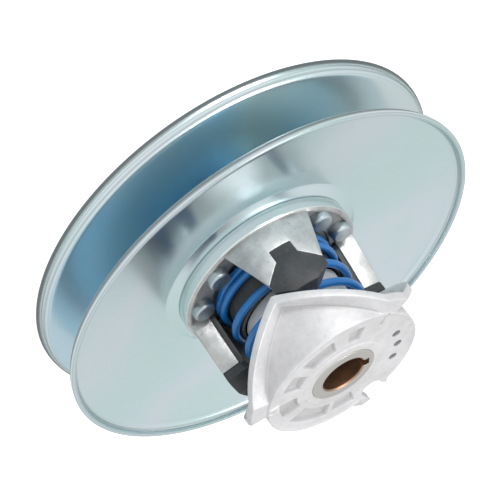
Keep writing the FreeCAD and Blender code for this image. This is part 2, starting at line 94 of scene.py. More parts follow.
def rounded(outline, arcs=5):
    """Corners (x, y) or (x, y, radius) of a closed outline, each radius turned into arcs + 1 points."""
    points = []
    count = len(outline)
    for i, corner in enumerate(outline):
        here = Vector(corner[:2])
        if len(corner) < 3:
            points.append(tuple(here))
            continue
        before = Vector(outline[i - 1][:2]) - here
        after = Vector(outline[(i + 1) % count][:2]) - here
        half = before.angle(after) / 2
        reach = min(corner[2] / math.tan(half), before.length * 0.49, after.length * 0.49)
        if half > math.radians(89.0):
            for k in range(arcs + 1):
                spot = here + (before.normalized() * (1 - k / arcs) + after.normalized() * k / arcs) * 0.05
                points.append(tuple(spot))
            continue
        radius = reach * math.tan(half)
        bisector = (before.normalized() + after.normalized()).normalized()
        middle = here + bisector * (radius / math.sin(half))
        first = here + before.normalized() * reach - middle
        last = here + after.normalized() * reach - middle
        start = math.atan2(first.y, first.x)
        sweep = (math.atan2(last.y, last.x) - start + math.pi) % (2 * math.pi) - math.pi
        for k in range(arcs + 1):
            spot = start + sweep * k / arcs
            points.append((middle.x + radius * math.cos(spot), middle.y + radius * math.sin(spot)))
    return points


def swept(sections, closed=True):
    """A skin through equal-length loops of points, closed on itself or capped at its ends."""
    bm = bmesh.new()
    rings = [[bm.verts.new(p) for p in loop] for loop in sections]
    following = rings[1:] + rings[:1] if closed else rings[1:]
    size = len(rings[0])
    for a, b in zip(rings, following):
        for i in range(size):
            j = (i + 1) % size
            bm.faces.new((a[i], a[j], b[j], b[i]))
    if not closed:
        bm.faces.new(list(reversed(rings[0])))
        bm.faces.new(rings[-1])
    return bm


def around(section_at, angles):
    """Sweep section_at(angle) -> [(radius, height), ...] round the shaft."""
    sections = []
    for angle in angles:
        c, s = math.cos(math.radians(angle)), math.sin(math.radians(angle))
        sections.append([(r * c, r * s, z) for r, z in section_at(angle)])
    return swept(sections)


def lathe(outline, steps):
    """A turned body from its (radius, height) outline."""
    points = rounded(outline)
    return around(lambda angle: points, [360.0 * k / steps for k in range(steps)])


def wrapped(outline, inner, outer, centre, bevel, step=2.0):
    """A plate given flat, as (degrees, height) corners, wrapped round the shaft with radial sides."""
    arc = math.radians(outer)
    bm = bmesh.new()
    front = [bm.verts.new((a * arc, outer, z)) for a, z in outline]
    back = [bm.verts.new((a * arc, inner, z)) for a, z in outline]
    bm.faces.new(front)
    bm.faces.new(list(reversed(back)))
    for i in range(len(outline)):
        j = (i + 1) % len(outline)
        bm.faces.new((front[j], front[i], back[i], back[j]))
    bmesh.ops.recalc_face_normals(bm, faces=bm.faces)
    bmesh.ops.bevel(bm, geom=list(bm.edges), offset=bevel, segments=3, profile=0.5, affect="EDGES",
                    clamp_overlap=True)
    low = min(v.co.x for v in bm.verts)
    high = max(v.co.x for v in bm.verts)
    cut = (math.floor(low / step) + 1) * step
    while cut < high:
        bmesh.ops.bisect_plane(bm, geom=list(bm.verts) + list(bm.edges) + list(bm.faces), dist=1e-5,
                               plane_co=(cut, 0, 0), plane_no=(1, 0, 0))
        cut += step
    for vert in bm.verts:
        spot = math.radians(centre) + vert.co.x / outer
        vert.co = (vert.co.y * math.cos(spot), vert.co.y * math.sin(spot), vert.co.z)
    return bm


def turn_from(angle, centre):
    """Signed angle from a centre line, -180 to 180."""
    return (angle - centre + 180.0) % 360.0 - 180.0


def joined(parts):
    """One bmesh from several."""
    whole = bmesh.new()
    for part in parts:
        mesh = bpy.data.meshes.new("part")
        part.to_mesh(mesh)
        part.free()
        whole.from_mesh(mesh)
        bpy.data.meshes.remove(mesh)
    return whole


def carved(bm, cutters):
    """bm with the cutters taken away."""
    objects = []
    for source in (bm, joined(cutters)):
        bmesh.ops.recalc_face_normals(source, faces=source.faces)
        mesh = bpy.data.meshes.new("carving")
        source.to_mesh(mesh)
        source.free()
        thing = bpy.data.objects.new("carving", mesh)
        bpy.context.scene.collection.objects.link(thing)
        objects.append(thing)
    cut = objects[0].modifiers.new("cut", "BOOLEAN")
    cut.operation = "DIFFERENCE"
    cut.solver = "EXACT"
    cut.object = objects[1]
    bpy.context.view_layer.update()
    result = objects[0].evaluated_get(bpy.context.evaluated_depsgraph_get()).to_mesh()
    out = bmesh.new()
    out.from_mesh(result)
    for thing in objects:
        mesh = thing.data
        bpy.data.objects.remove(thing)
        bpy.data.meshes.remove(mesh)
    return out


def rod(radius, low, high, x, y, steps=40):
    """An upright cylinder."""
    bm = bmesh.new()
    bmesh.ops.create_cone(bm, cap_ends=True, segments=steps, radius1=radius, radius2=radius,
                          depth=high - low, matrix=Matrix.Translation((x, y, (low + high) / 2)))
    return bm


# ---------------------------------------------------------------- materials

class Shader:
    """A small wrapper that adds and joins nodes of one material."""

    def __init__(self, name):
        self.material = bpy.data.materials.new(name)
        self.material.use_nodes = True
        self.tree = self.material.node_tree
        self.surface = self.tree.nodes["Principled BSDF"]
        coordinates = self.node("ShaderNodeTexCoord")
        self.place = coordinates.outputs["Object"]

    def node(self, kind, **settings):
        made = self.tree.nodes.new(kind)
        for key, value in settings.items():
            setattr(made, key, value)
        return made

    def feed(self, socket, value):
        if isinstance(value, bpy.types.NodeSocket):
            self.tree.links.new(value, socket)
        else:
            socket.default_value = value

    def noise(self, scale, detail=3.0, rough=0.5, place=None, distortion=0.0):
        made = self.node("ShaderNodeTexNoise")
        self.feed(made.inputs["Vector"], place or self.place)
        made.inputs["Scale"].default_value = scale
        made.inputs["Detail"].default_value = detail
        made.inputs["Roughness"].default_value = rough
        made.inputs["Distortion"].default_value = distortion
        return made.outputs["Fac"]

    def math(self, operation, *values):
        made = self.node("ShaderNodeMath", operation=operation)
        for socket, value in zip(made.inputs, values):
            self.feed(socket, value)
        return made.outputs[0]

    def ramp(self, fac, *stops):
        """Stops are (position, colour); colours are (r, g, b) or one grey."""
        made = self.node("ShaderNodeValToRGB")
        elements = made.color_ramp.elements
        while len(elements) < len(stops):
            elements.new(0.5)
        for element, (position, colour) in zip(elements, stops):
            element.position = position
            shade = (colour,) * 3 if isinstance(colour, float) else colour
            element.color = (*shade, 1.0)
        self.feed(made.inputs["Fac"], fac)
        return made.outputs["Color"]

    def span(self, value, low, high, out_low, out_high):
        made = self.node("ShaderNodeMapRange")
        limits = {"From Min": low, "From Max": high, "To Min": out_low, "To Max": out_high}
        for key, number in limits.items():
            made.inputs[key].default_value = number
        self.feed(made.inputs["Value"], value)
        return made.outputs["Result"]

    def mix(self, fac, a, b):
        made = self.node("ShaderNodeMix", data_type="RGBA")
        self.feed(made.inputs[0], fac)
        self.feed(made.inputs[6], a if isinstance(a, bpy.types.NodeSocket) else (*a, 1.0))
        self.feed(made.inputs[7], b if isinstance(b, bpy.types.NodeSocket) else (*b, 1.0))
        return made.outputs[2]

    def either(self, fac, a, b):
        """Surface a where fac is 0 and b where it is 1."""
        made = self.node("ShaderNodeMixShader")
        for socket, value in zip(made.inputs, (fac, a, b)):
            self.feed(socket, value)
        return made.outputs[0]

    def times(self, first, *others):
        for other in others:
            first = self.math("MULTIPLY", first, other)
        return first

    def above(self, length, limit):
        """1 where a length is over a limit in millimetres, else 0."""
        return self.math("GREATER_THAN", length, limit * MM)

    def below(self, length, limit):
        return self.math("LESS_THAN", length, limit * MM)

    def fade(self, length, limits, out_low, out_high):
        """span with its two limits in millimetres."""
        return self.span(length, limits[0] * MM, limits[1] * MM, out_low, out_high)

    def rings(self, radius, height=0.0):
        """Coordinates that are the same all round the shaft."""
        made = self.node("ShaderNodeCombineXYZ")
        self.feed(made.inputs[0], radius)
        self.feed(made.inputs[1], height)
        return made.outputs[0]

    def polar(self):
        """(radius, height) from the shaft, in metres."""
        split = self.node("ShaderNodeSeparateXYZ")
        self.feed(split.inputs[0], self.place)
        x, y, z = split.outputs
        square = self.math("ADD", self.math("MULTIPLY", x, x), self.math("MULTIPLY", y, y))
        return self.math("SQRT", square), z

    def bump(self, height, strength, distance, below=None):
        made = self.node("ShaderNodeBump")
        made.inputs["Strength"].default_value = strength
        made.inputs["Distance"].default_value = distance
        self.feed(made.inputs["Height"], height)
        if below is not None:
            self.feed(made.inputs["Normal"], below)
        return made.outputs["Normal"]

    def set(self, **inputs):
        for key, value in inputs.items():
            socket = self.surface.inputs[key.replace("_", " ")]
            if isinstance(value, tuple) and socket.type == "RGBA":
                value = (*value, 1.0)
            self.feed(socket, value)
        return self.material


# where a finish or a painted shade changes, in millimetres
BELT_FACE_EDGE = (-12.0, -11.5)      # end of the belt faces: height over the middle less the flare's rise
RIM_STREAKS = (121.5, 124.5)         # radii over which the rims' streaks set in
# painted shade: the cam nose's pockets and the corner round the nose are coloured darker within these radii
# and heights
POCKET_SHADE_BAND = (24.0, 40.5)           # radii that hold the cam nose's pockets
POCKET_SHADE_LOWEST, POCKET_SHADE_FADE = 102.2, (104.2, 105.8)
CORNER_SHADE_START, CORNER_SHADE_END = (46.8, 47.4), (48.0, 49.2)    # radii of the corner round the cam's nose
CORNER_SHADE_TOP = 105.0
TURNED_RADIUS, TURNED_TOP = 53.8, 34.7                   # the hub's turned wall
ROUGH_RADIUS, ROUGH_TOP = 51.7, 35.6                     # the hub's floor, left as cast
BORE_GREASE, KEYWAY_GREASE, GREASE_TOP = 13.45, 17.2, 106.8


def zinc_sheet():
    """Zinc plating over spun sheet: faint coloured clouds and streaks on the rims; the belt faces are
    coloured darker and bluer.
    """
    s = Shader("zinc_plated_sheet")
    radius, height = s.polar()
    rings = s.rings(radius, height)
    lines = s.noise(420.0, 2.0, 0.6, rings)
    clouds = s.noise(9.0, 1.5, 0.5, distortion=0.4)
    veil = s.noise(22.0, 2.0, 0.5)
    grain = s.noise(900.0, 2.0, 0.6)
    tint = s.ramp(clouds, (0.32, (0.575, 0.760, 0.745)), (0.46, (0.610, 0.755, 0.780)),
                  (0.58, (0.670, 0.760, 0.810)), (0.70, (0.600, 0.765, 0.765)))
    tint = s.mix(s.span(veil, 0.35, 0.65, 0.0, 0.25), tint, (0.68, 0.77, 0.79))
    middle = s.math("ABSOLUTE", s.math("SUBTRACT", height, RIM_SPACING / 2 * MM))
    above_cone = s.math("SUBTRACT", middle, s.math("MULTIPLY", radius, math.tan(FLARE)))
    belt_face = s.fade(above_cone, BELT_FACE_EDGE, 1.0, 0.0)
    # the belt faces are coloured darker and bluer than the outsides
    belt_face_tone = s.ramp(s.noise(14.0, 1.0, 0.5, distortion=0.3),
                   (0.44, (0.635, 0.735, 0.755)), (0.58, (0.54, 0.71, 0.80)))
    tint = s.mix(belt_face, tint, belt_face_tone)
    streaks = s.span(s.noise(1500.0, 2.0, 0.6, rings), 0.45, 0.65, 0.0, 1.0)
    on_rim = s.fade(radius, RIM_STREAKS, 0.025, 0.75)
    colour = s.mix(s.times(streaks, on_rim), tint, (0.38, 0.42, 0.44))
    rough = s.math("ADD", s.span(veil, 0.3, 0.7, 0.19, 0.23), s.span(grain, 0.3, 0.7, 0.0, 0.03))
    normal = s.bump(lines, 0.02, 0.0003)
    tangent = s.node("ShaderNodeTangent", direction_type="RADIAL", axis="Z")
    return s.set(Base_Color=colour, Metallic=1.0, Roughness=rough, Anisotropic=0.35, Normal=normal,
                 Tangent=tangent.outputs[0])


def cast(name, colour, rough, mottle, grain_size, metal=0.8, recess_shade=0.0, turned=1000.0):
    """Cast light alloy: mottled skin, fine grain and a few dark pores.

    A positive recess darkens the pockets and the corner round the cam's nose with painted shade. turned is
    the radius, in millimetres, outside which the foot of the casting is turned smooth.
    """
    s = Shader(name)
    radius, height = s.polar()
    patches = s.noise(60.0, 4.0, 0.6)
    grain = s.noise(grain_size, 3.0, 0.65)
    pores = s.noise(420.0, 2.0, 0.5)
    pits = s.ramp(pores, (0.27, 1.0), (0.33, 0.0))
    dark = tuple(c * (1.0 - mottle) for c in colour)
    skin = s.mix(s.span(patches, 0.35, 0.65, 0.0, 1.0), dark, colour)
    skin = s.mix(s.span(grain, 0.4, 0.7, 0.0, mottle * 0.8), skin, (0.35, 0.35, 0.35))
    skin = s.mix(s.times(pits, mottle), skin, (0.12, 0.12, 0.12))
    # painted shade: the cam nose's pockets and the corner round the nose are coloured darker
    if recess_shade > 0:
        inside = s.times(s.above(radius, POCKET_SHADE_BAND[0]), s.below(radius, POCKET_SHADE_BAND[1]),
                         s.above(height, POCKET_SHADE_LOWEST))
        pocket_shade = s.times(inside, s.fade(height, POCKET_SHADE_FADE, recess_shade, 0.0))
        corner = s.times(s.fade(radius, CORNER_SHADE_START, 0.0, recess_shade), s.fade(radius, CORNER_SHADE_END, 1.0, 0.0),
                         s.below(height, CORNER_SHADE_TOP))
        skin = s.mix(s.math("MAXIMUM", pocket_shade, corner), skin, (0.40, 0.405, 0.40))
    roughness = s.span(grain, 0.3, 0.7, rough - 0.06, rough + 0.08)
    smooth = s.times(s.above(radius, turned), s.below(height, TURNED_TOP))
    skin = s.mix(smooth, skin, (0.68, 0.745, 0.745))
    roughness = s.times(roughness, s.span(smooth, 0.0, 1.0, 1.0, 0.38))
    as_cast = s.times(s.below(radius, ROUGH_RADIUS), s.below(height, ROUGH_TOP))
    skin = s.mix(s.times(as_cast, 0.7), skin, (0.47, 0.455, 0.43))
    roughness = s.times(roughness, s.span(as_cast, 0.0, 1.0, 1.0, 1.7))
    normal = s.bump(grain, 0.25, 0.0003)
    normal = s.bump(patches, 0.12, 0.0012, normal)
    return s.set(Base_Color=skin, Metallic=metal, Roughness=roughness, Normal=normal)


def machined_steel():
    """Turned steel with concentric tool lines; the inside of the bore is brown with old grease."""
    s = Shader("post_steel")
    radius, height = s.polar()
    lines = s.noise(1600.0, 2.0, 0.6, s.rings(radius))
    stain = s.noise(90.0, 4.0, 0.6)
    steel = s.mix(s.span(lines, 0.3, 0.7, 0.0, 0.5), (0.60, 0.59, 0.56), (0.38, 0.37, 0.34))
    rust = s.ramp(stain, (0.3, (0.24, 0.20, 0.145)), (0.52, (0.48, 0.28, 0.17)), (0.8, (0.62, 0.42, 0.28)))
    inside = s.below(radius, BORE_GREASE)
    keyway = s.times(s.below(radius, KEYWAY_GREASE), s.below(height, GREASE_TOP))
    colour = s.mix(s.math("MAXIMUM", inside, keyway), steel, rust)
    rough = s.span(lines, 0.3, 0.7, 0.30, 0.42)
    normal = s.bump(lines, 0.3, 0.0004)
    return s.set(Base_Color=colour, Metallic=0.9, Roughness=rough, Normal=normal)


def plated_steel():
    """Zinc-plated rivet heads, a little clouded."""
    s = Shader("plated_rivet")
    grain = s.noise(500.0, 3.0, 0.6)
    clouds = s.noise(120.0, 2.0)
    colour = s.ramp(clouds, (0.3, (0.40, 0.47, 0.51)), (0.7, (0.60, 0.66, 0.68)))
    return s.set(Base_Color=colour, Metallic=1.0, Roughness=s.span(grain, 0.3, 0.7, 0.32, 0.50),
                 Normal=s.bump(grain, 0.2, 0.0002))


def blue_paint():
    """Glossy blue paint on the spring."""
    s = Shader("blue_spring")
    flow = s.noise(260.0, 2.0)
    clouds = s.noise(40.0, 2.0)
    colour = s.ramp(clouds, (0.3, (0.002, 0.150, 0.46)), (0.7, (0.006, 0.190, 0.55)))
    return s.set(Base_Color=colour, Roughness=s.span(flow, 0.3, 0.7, 0.30, 0.40), Coat_Weight=0.35,
                 Coat_Roughness=0.12, Normal=s.bump(flow, 0.08, 0.0004))


def black_nylon():
    """Black moulded plastic with faint smears."""
    s = Shader("black_plastic")
    grain = s.noise(650.0, 3.0, 0.6)
    smears = s.noise(45.0, 3.0, 0.6)
    colour = s.ramp(smears, (0.35, (0.026, 0.028, 0.030)), (0.7, (0.060, 0.063, 0.066)))
    colour = s.mix(s.span(grain, 0.5, 0.75, 0.0, 0.35), colour, (0.10, 0.10, 0.105))
    return s.set(Base_Color=colour, Roughness=s.span(grain, 0.3, 0.7, 0.36, 0.52),
                 Normal=s.bump(grain, 0.18, 0.0003))


def bronze():
    """Sintered bronze of the bushings."""
    s = Shader("bushing")
    grain = s.noise(800.0, 3.0, 0.6)
    colour = s.ramp(grain, (0.35, (0.36, 0.24, 0.10)), (0.65, (0.62, 0.44, 0.22)))
    return s.set(Base_Color=colour, Metallic=1.0, Roughness=s.span(grain, 0.3, 0.7, 0.35, 0.5),
                 Normal=s.bump(grain, 0.2, 0.0002))


def rubber():
    """Dull black rubber of the seals."""
    s = Shader("seal_rubber")
    grain = s.noise(500.0, 3.0, 0.6)
    colour = s.ramp(grain, (0.3, (0.012, 0.012, 0.012)), (0.7, (0.03, 0.03, 0.03)))
    return s.set(Base_Color=colour, Roughness=s.span(grain, 0.3, 0.7, 0.6, 0.75),
                 Normal=s.bump(grain, 0.2, 0.0002))


FINISHES = {
    "zinc_plated_sheet": zinc_sheet(),
    "cast_metal": cast("cast_metal", (0.64, 0.65, 0.64), 0.42, 0.36, 300.0, turned=TURNED_RADIUS),
    "cast_aluminium": cast("cast_aluminium", (0.78, 0.78, 0.79), 0.48, 0.14, 260.0, 0.45, 0.38),
    "post_steel": machined_steel(),
    "plated_rivet": plated_steel(),
    "blue_spring": blue_paint(),
    "black_plastic": black_nylon(),
    "bushing": bronze(),
    "seal_rubber": rubber(),
}


def paint(piece, slot):
    """Give a piece, or a CAD mesh, the finish of its slot."""
    piece.data.materials.clear()
    piece.data.materials.append(FINISHES[slot])


for part in frame["record"]["subparts"]:
    paint(frame["nodes"][part["node"]], part["material_slot"])


def build(name, bm, body, slot, replaces=(), sharp=32.0):
    """A finished and painted piece."""
    piece = new_object(name, bm, body, replaces, sharp)
    paint(piece, slot)
    return piece


# ---------------------------------------------------------------- sheaves

def rim_arc(radius, first, last, steps=14):
    """Points on the curl of a rim whose cut edge is at height 0, angles from the outward direction."""
    centre = SHEAVE_RADIUS - SHOULDER
    angles = [math.radians(first + (last - first) * k / steps) for k in range(steps + 1)]
    return [(centre + radius * math.cos(a), LIP + radius * math.sin(a)) for a in angles]


CURL = 90.0 - math.degrees(FLARE)
face_end = rim_arc(SHOULDER, CURL, CURL)[0]
FACE_HEIGHT = face_end[1] + (face_end[0] - CONE_END) * math.tan(FLARE)
BACK_HEIGHT = FACE_HEIGHT - SHEET / math.cos(FLARE)
FLAT_LOW = FACE_HEIGHT - SHEET


def sheave_outline(middle):
    """Outline of a pressed sheave with its belt face up, round its curled rim; middle closes it."""
    return ([(CONE_END, BACK_HEIGHT, 3.0)] + rim_arc(SHOULDER - SHEET, CURL, 0.0)
            + [(SHEAVE_RADIUS - SHEET, 0.0, 0.9), (SHEAVE_RADIUS, 0.0, 0.9)]
            + rim_arc(SHOULDER, 0.0, CURL) + [(CONE_END, FACE_HEIGHT, 3.0)] + middle)


def flipped(outline):
    """The same outline as the other sheave, facing it."""
    return [(p[0], RIM_SPACING - p[1], *p[2:]) for p in outline]


POST_HOLE = POST_RADIUS + 0.3
web = [(POST_HOLE, FACE_HEIGHT, 0.4), (POST_HOLE, FLAT_LOW, 0.4), (CONE_END - 2.0, FLAT_LOW, 3.0)]
build("fixed_sheave_plated", lathe(sheave_outline(web), 360), FIXED, "zinc_plated_sheet",
      ["fixed_sheave_disc"])

BEAD_RADIUS, HUB_HOLE = 55.4, BARREL_RADIUS + 0.2
seat_height = RIM_SPACING - HUB_SEAT
bead = [(BEAD_RADIUS, seat_height + SHEET, 1.5), (HUB_HOLE, seat_height + SHEET, 0.4),
        (HUB_HOLE, seat_height, 0.4), (BEAD_RADIUS, seat_height, 1.5)]
build("movable_sheave_plated", lathe(flipped(sheave_outline(bead)), 360), MOVABLE, "zinc_plated_sheet",
      ["movable_sheave_disc"])


# ---------------------------------------------------------------- movable hub and ramp shoes

FOOT_ANGLE, TIP_ANGLE = 30.1, 18.0
STUB_ANGLE, POINT_ANGLE = 6.85, 7.4
STUB_LOW, STUB_HIGH = 49.1, 56.5
EDGE_LOW, EDGE_HIGH, SHOE_TIP = 65.7, 70.5, 76.1
SHOE_FOOT, LINING_INNER = 36.2, 38.7
FLANGE_RADIUS, FLANGE_TOP, SPRING_WELL = 54.8, 34.4, 38.6
RIVET_CIRCLE, RIVET_SPREAD, RIVET_SHANK = 45.9, 15.5, 3.45
HEAD_RADIUS, HEAD_TOP = 6.3, 40.2
TAIL_RADIUS, TAIL_LOW = 5.3, 23.3


def hub_section(angle):
    """The hub's flange, floor and barrel; under a tower the flange runs up into the tower's face."""
    under_tower = min(abs(turn_from(angle, centre)) for centre in TOWER_ANGLES) < FOOT_ANGLE - 1.0
    crest = (52.7, 35.0, 0.1) if under_tower else (52.9, 35.7, 0.5)
    shoulder = 2.0 if under_tower else 0.9
    return rounded([
        (BARREL_BORE, HUB_SEAT - SHEET, 0.4), (BARREL_RADIUS, HUB_SEAT - SHEET, 0.4),
        (BARREL_RADIUS, HUB_SEAT, 0.05), (FLANGE_RADIUS, HUB_SEAT, 0.9),
        (FLANGE_RADIUS, FLANGE_TOP, shoulder), crest, (51.6, 35.7, 0.5), (50.9, HUB_FLOOR, 0.6),
        (SPRING_WELL, HUB_FLOOR, 0.6),
        (SPRING_WELL, SPRING_FLOOR, 0.5), (BARREL_RADIUS, SPRING_FLOOR, 0.6),
        (BARREL_RADIUS, BARREL_TOP, 1.0), (BARREL_BORE, BARREL_TOP, 0.6),
    ])


hub_base = around(hub_section, [1.5 * k for k in range(240)])
tower_face = [(-FOOT_ANGLE, HUB_FLOOR - 0.8), (FOOT_ANGLE, HUB_FLOOR - 0.8), (TIP_ANGLE, TOWER_TOP),
              (STUB_ANGLE, STUB_HIGH), (STUB_ANGLE, STUB_LOW), (-STUB_ANGLE, STUB_LOW),
              (-STUB_ANGLE, STUB_HIGH), (-TIP_ANGLE, TOWER_TOP)]
towers = [wrapped(tower_face, TOWER_INNER, TOWER_OUTER, angle, 0.45) for angle in TOWER_ANGLES]
build("movable_hub_casting", joined([hub_base] + towers), MOVABLE, "cast_metal", ["movable_hub"])


def rivet(angle):
    """A rivet with a flat-topped head on the hub's floor and a set tail inside the groove."""
    under = HUB_SEAT - SHEET
    bm = lathe([(0.0, TAIL_LOW), (TAIL_RADIUS - 0.6, TAIL_LOW, 0.4), (TAIL_RADIUS, under, 0.2),
                (RIVET_SHANK, under), (RIVET_SHANK, HUB_FLOOR), (HEAD_RADIUS, HUB_FLOOR, 0.1),
                (HEAD_RADIUS, HEAD_TOP - 1.3, 0.9), (HEAD_RADIUS - 0.8, HEAD_TOP - 0.1, 0.7),
                (0.0, HEAD_TOP)], 48)
    spot = math.radians(angle)
    place = (RIVET_CIRCLE * math.cos(spot), RIVET_CIRCLE * math.sin(spot), 0)
    bmesh.ops.translate(bm, verts=bm.verts, vec=place)
    return bm


rivet_angles = [centre + 60.0 + side * RIVET_SPREAD for centre in TOWER_ANGLES for side in (-1, 1)]
build("hub_rivets", joined([rivet(angle) for angle in rivet_angles]), MOVABLE, "plated_rivet",
      ["movable_hub_rivets"])

arrow = [(-STUB_ANGLE, STUB_LOW + 0.1), (STUB_ANGLE, STUB_LOW + 0.1), (STUB_ANGLE, STUB_HIGH),
         (TIP_ANGLE, EDGE_LOW), (TIP_ANGLE, EDGE_HIGH), (POINT_ANGLE, SHOE_TIP), (-POINT_ANGLE, SHOE_TIP),
         (-TIP_ANGLE, EDGE_HIGH), (-TIP_ANGLE, EDGE_LOW), (-STUB_ANGLE, STUB_HIGH)]
lining = [(-FOOT_ANGLE + 1.5, SHOE_FOOT), (FOOT_ANGLE - 1.5, SHOE_FOOT), (TIP_ANGLE, EDGE_LOW),
          (TIP_ANGLE, EDGE_HIGH), (POINT_ANGLE, SHOE_TIP), (-POINT_ANGLE, SHOE_TIP),
          (-TIP_ANGLE, EDGE_HIGH), (-TIP_ANGLE, EDGE_LOW)]
for number, angle in enumerate(TOWER_ANGLES, start=1):
    shoe = joined([wrapped(arrow, LINING_INNER, TOWER_OUTER, angle, 0.35),
                   wrapped(lining, LINING_INNER, TOWER_INNER - 0.1, angle, 0.3)])
    build(f"ramp_shoe_moulded_{number}", shoe, MOVABLE, "black_plastic", [f"ramp_shoe_{number}"])


# ---------------------------------------------------------------- spring

SPRING_RADIUS, WIRE = 34.4, 2.3
CAM_NOSE, CAM_PLATE = 106.7, 4.4
SPRING_TOP = CAM_NOSE - CAM_PLATE - WIRE - 0.1
SPRING_LOW, CLOSED_PITCH = 34.9, 4.7
SPRING_TURNS, LOW_CLOSED = 6.25, 1.25
COIL_TURNS = (0.0, 1.0, LOW_CLOSED, SPRING_TURNS - 1.0, SPRING_TURNS)
COIL_HEIGHTS = (SPRING_LOW, SPRING_LOW + CLOSED_PITCH, SPRING_LOW + CLOSED_PITCH + 0.5,
                SPRING_TOP - CLOSED_PITCH, SPRING_TOP)
SPRING_START = 60.0


def coil_height(turn):
    """Height of the wire's centre after a number of turns: closed ends and an even pitch between."""
    near = [np.interp(turn + shift, COIL_TURNS, COIL_HEIGHTS) for shift in np.linspace(-0.12, 0.12, 9)]
    return float(np.mean(near))


def spring_sections(steps=60, sides=20):
    """Rings of points along the coiled wire, drawn in a little at its two cut ends."""
    total = int(SPRING_TURNS * steps)
    sections = []
    for k in range(total + 1):
        turn = k / steps
        spot = math.radians(SPRING_START - 360.0 * turn)
        middle = Vector((SPRING_RADIUS * math.cos(spot), SPRING_RADIUS * math.sin(spot), coil_height(turn)))
        outward = Vector((math.cos(spot), math.sin(spot), 0))
        rise = (coil_height(turn + 0.01) - coil_height(turn - 0.01)) / 0.02
        along = Vector((math.sin(spot), -math.cos(spot), rise / (2 * math.pi * SPRING_RADIUS))).normalized()
        upward = outward.cross(along).normalized()
        if upward.z < 0:
            upward.negate()
        end = min(k, total - k)
        thick = WIRE * (0.80 if end == 0 else 0.95 if end == 1 else 1.0)
        loop = []
        for j in range(sides):
            a = 2 * math.pi * j / sides
            loop.append(tuple(middle + outward * thick * math.cos(a) + upward * thick * math.sin(a)))
        sections.append(loop)
    return sections


spring = build("spring_coil", swept(spring_sections(), closed=False), FIXED, "blue_spring",
               ["spring"], 50.0)
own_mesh(spring)


# ---------------------------------------------------------------- torque cam

CAM_RADIUS, CAM_WALL = 47.0, 42.5
SKIRT_RADIUS, SKIRT_BORE, SKIRT_LOW = 29.3, 26.7, 56.0
CAM_HUB_LOW = 89.0
RAMP_RADIUS, RAMP_FLANGE, RAMP_PEAK = 56.7, 5.1, 72.4
RAMP_RISE = 31.4 * math.pi / 180.0
WEB_LOW = 100.6
PLATE_LOW = CAM_NOSE - CAM_PLATE
POCKET_INNER, POCKET_OUTER, POCKET_DEPTH = 28.6, 39.4, 2.6
POCKETS = ((-102.3, 7.0), (-66.3, 15.0), (-29.8, 10.5), (7.2, 12.0), (52.7, 21.0), (90.7, 11.0))
GROOVE_ANGLE = -126.8
RIB_ANGLE = -3.3
NOTCH_ANGLE, NOTCH_RADIUS, NOTCH_CIRCLE = 117.2, 6.4, 43.0
ANCHOR_ANGLES, ANCHOR_CIRCLE, ANCHOR_HOLE = (157.7, 177.7, 197.2), 35.4, 2.6
NOSE_SKIN = 0.1        # the plain nose face lies this much below CAM_NOSE
GROOVE_DEPTH = 1.6
RIB_HEIGHT, RIB_OFFSET, RIB_TROUGH, RIB_CAP = 0.9, 2.2, 1.2, 0.45
DISH_DEPTH = 0.5


def ease(value, low, high):
    """0 below low, 1 above high and a smooth step between."""
    t = min(max((value - low) / (high - low), 0.0), 1.0)
    return t * t * (3 - 2 * t)


def nose_relief(radius, angle):
    """Height of the cam's nose face against its plane: pockets, groove, double rib, shallow dish."""
    height = 0.0
    for centre, half in POCKETS:
        side = (half - abs(turn_from(angle, centre))) * math.radians(radius)
        depth = min(ease(side, -0.3, 0.9), ease(radius, POCKET_INNER - 0.3, POCKET_INNER + 0.9),
                    ease(-radius, -POCKET_OUTER - 0.3, -POCKET_OUTER + 0.9))
        height -= POCKET_DEPTH * depth
    across = abs(turn_from(angle, GROOVE_ANGLE)) * math.radians(radius)
    height -= GROOVE_DEPTH * ease(-across, -1.1, -0.4) * ease(radius, 36.5, 37.5)
    beside = abs(turn_from(angle, RIB_ANGLE)) * math.radians(radius)
    length = ease(radius, 39.5, 41.0) * ease(-radius, -56.2, -55.0)
    height += RIB_HEIGHT * ease(-abs(beside - RIB_OFFSET), -1.5, -0.7) * length
    height -= RIB_TROUGH * ease(-beside, -1.1, -0.3) * length
    height -= DISH_DEPTH * ease(radius, 24.0, 25.0) * ease(-radius, -46.0, -44.5)
    return min(height, RIB_CAP)


def cam_section(angle):
    """The cam's nose, skirt and outer wall; the wall's foot follows the ramp of the nearest lobe."""
    turn = min((turn_from(angle, centre + LOBE_TURN) for centre in TOWER_ANGLES), key=abs)
    low = RAMP_PEAK + RAMP_RISE * (math.sqrt(turn * turn + 0.36) - 0.6)
    low = min(low, WEB_LOW)
    top = min(low + RAMP_FLANGE, CAM_NOSE - 0.45)
    nose = CAM_NOSE - NOSE_SKIN
    face = [(r, nose + nose_relief(r, angle)) for r in np.arange(20.0, 46.1, 0.5)]
    flange = [(r, top + (nose_relief(r, angle) if top > CAM_NOSE - 1.0 else 0.0))
              for r in np.arange(48.5, 55.6, 0.5)]
    return rounded([(POST_RADIUS, CAM_HUB_LOW, 0.3), (POST_RADIUS, nose, 0.3)] + face
                   + [(CAM_RADIUS, nose, 0.5), (CAM_RADIUS, top, 1.0)] + flange
                   + [(RAMP_RADIUS, top, 0.9), (RAMP_RADIUS, low, 0.6), (CAM_WALL, low, 0.8),
                      (CAM_WALL, PLATE_LOW, 1.0), (SKIRT_RADIUS, PLATE_LOW, 2.0),
                      (SKIRT_RADIUS, SKIRT_LOW, 0.5), (SKIRT_BORE, SKIRT_LOW, 0.5),
                      (SKIRT_BORE, CAM_HUB_LOW, 0.5)], 4)


